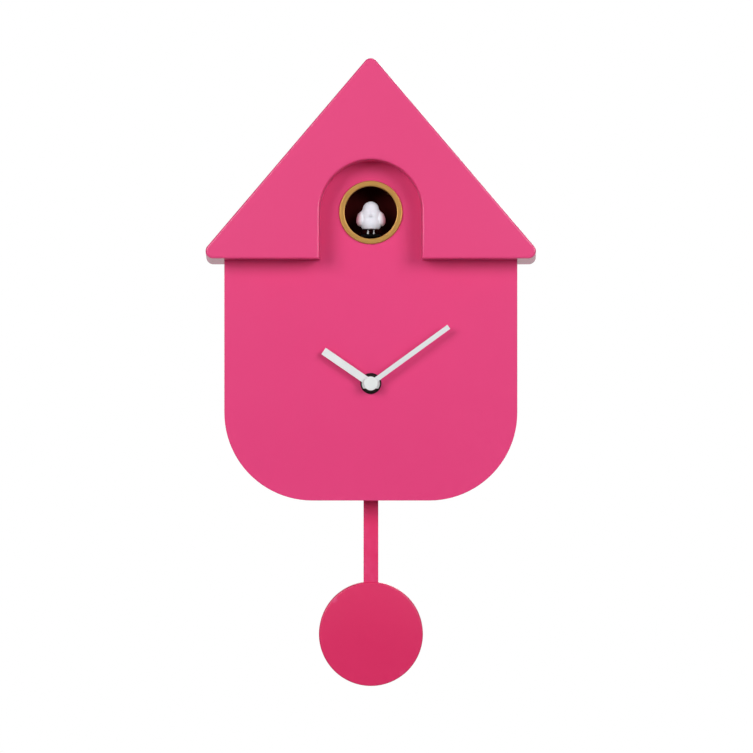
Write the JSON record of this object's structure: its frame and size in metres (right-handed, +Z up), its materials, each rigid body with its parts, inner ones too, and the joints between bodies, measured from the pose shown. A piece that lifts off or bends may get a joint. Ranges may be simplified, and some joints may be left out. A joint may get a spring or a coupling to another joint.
{
  "type": "cuckoo clock",
  "caption": "Wall-hung cuckoo clock with a gable roof, arched niche, ringed bird hole, plain hands and a swinging disc pendulum.",
  "frame": {"origin": "centre of the round part of the keyhole in the back cover, in the back face that lies against the wall", "axes": "+Y out of the back into the wall, -Y to the front; +Z up; +X to the viewer's right"},
  "size_m": [0.2172, 0.08, 0.4047],
  "materials": {
    "pink_shell": "satin painted",
    "pink_roof": "satin painted",
    "pink_cover": "satin moulded",
    "gold": "satin gold lacquer",
    "dark_liner": "matte",
    "steel_screw": "zinc plated",
    "black_case": "fine spark texture",
    "brass": "turned",
    "circuit_board": "solder mask",
    "copper_winding": "enamelled wire",
    "sheet_steel": "pressed",
    "cell_jacket": "satin sleeve",
    "plated_contact": "nickel plated",
    "black_rubber": "matte",
    "black_metal": "black oxide",
    "steel_shaft": "ground",
    "white_hand": "satin lacquer",
    "white_cap": "satin",
    "natural_plastic": "natural acetal",
    "grey_plastic": "matte",
    "grey_wire": "bright wire",
    "white_bird": "satin",
    "magnet": "plain",
    "pink_rod": "satin painted",
    "pink_disc": "satin painted",
    "paper_cone": "coated paper",
    "black_plastic": "matte",
    "sensor_lens": "clear resin",
    "wire_cover": "soft cover"
  },
  "bodies": {
    "case": {"front_housing": "pink_shell", "roof_shell": "pink_roof", "back_cover": "pink_cover", "hole_ring": "gold", "bird_tunnel": "dark_liner", "case_screws": "steel_screw", "roof_screws": "steel_screw", "movement_case": "black_case", "movement_cover": "black_case", "threaded_bush": "brass", "movement_board": "circuit_board", "stepper_coil": "copper_winding", "stepper_stator": "sheet_steel", "pendulum_coil": "copper_winding", "movement_cell": "cell_jacket", "movement_contacts": "plated_contact", "dial_washer": "black_rubber", "fixing_nut": "black_metal", "guide_frame": "grey_plastic", "frame_screws": "steel_screw", "bird_motor": "sheet_steel", "battery_box": "black_case", "box_contacts": "plated_contact", "box_cells": "cell_jacket", "speaker_basket": "sheet_steel", "speaker_cone": "paper_cone", "speaker_magnet": "magnet", "inner_screws": "steel_screw", "sound_board": "circuit_board", "board_screws": "steel_screw", "mode_switch": "sheet_steel", "button_switch": "sheet_steel", "button_spring": "plated_contact", "light_sensor": "sensor_lens", "wiring": "wire_cover"},
    "minute": {"minute_shaft": "steel_shaft", "minute_hand": "white_hand", "hand_cap": "white_cap"},
    "hour": {"hour_wheel": "natural_plastic", "hour_hand": "white_hand"},
    "setting": {"minute_wheel": "natural_plastic", "setting_knob": "grey_plastic"},
    "bird": {"bird_slide": "dark_liner", "bird_legs": "grey_wire", "bird_body": "white_bird", "bird_wings": "white_bird"},
    "drive": {"drive_gear": "natural_plastic"},
    "motor": {"motor_pinion": "brass"},
    "pendulum": {"pendulum_hanger": "grey_plastic", "pendulum_magnet": "magnet", "pendulum_rod": "pink_rod", "pendulum_disc": "pink_disc"},
    "door": {"battery_door": "pink_cover"},
    "slider": {"mode_slider": "black_plastic"},
    "button": {"test_button": "black_plastic"}
  },
  "joints": [
    {"name": "minute_turn", "type": "hinge", "parent": "case", "child": "minute", "pos_m": [0, -0.062, -0.1437], "axis": [0, 1, 0], "continuous": true},
    {"name": "hour_turn", "type": "hinge", "parent": "case", "child": "hour", "pos_m": [0, -0.062, -0.1437], "axis": [0, 1, 0], "continuous": true},
    {"name": "setting_turn", "type": "hinge", "parent": "case", "child": "setting", "pos_m": [0.01128, -0.0495, -0.1396], "axis": [0, 1, 0], "continuous": true},
    {"name": "bird_slide_out", "type": "slide", "parent": "case", "child": "bird", "axis": [0, -1, 0], "range_m": [0, 0.022]},
    {"name": "drive_gear_spin", "type": "hinge", "parent": "case", "child": "drive", "pos_m": [0, -0.03, -0.04407], "axis": [1, 0, 0], "range_deg": [-303.1, 0]},
    {"name": "motor_spin", "type": "hinge", "parent": "case", "child": "motor", "pos_m": [0.02, -0.01975, -0.03382], "axis": [1, 0, 0], "range_deg": [0, 1452.6]},
    {"name": "pendulum_swing", "type": "hinge", "parent": "case", "child": "pendulum", "pos_m": [0, -0.038, -0.18], "axis": [0, 1, 0], "range_deg": [-7, 7]},
    {"name": "battery_door_hinge", "type": "hinge", "parent": "case", "child": "door", "pos_m": [0.059, -0.002, -0.1693], "axis": [-1, 0, 0], "range_deg": [0, 100]},
    {"name": "mode_slide", "type": "slide", "parent": "case", "child": "slider", "axis": [1, 0, 0], "range_m": [-0.0025, 0.0025]},
    {"name": "test_press", "type": "slide", "parent": "case", "child": "button", "axis": [0, -1, 0], "range_m": [0, 0.0008], "stiffness_N_per_m": 150, "springref_m": -0.001, "deforming": ["button_spring"]}
  ],
  "couplings": [
    {"joint": "hour_turn", "follows": "minute_turn", "ratio": 0.083333},
    {"joint": "setting_turn", "follows": "minute_turn", "ratio": -0.33333},
    {"joint": "drive_gear_spin", "follows": "bird_slide_out", "rad_per_m": -238.1},
    {"joint": "motor_spin", "follows": "bird_slide_out", "rad_per_m": 1142.9}
  ]
}
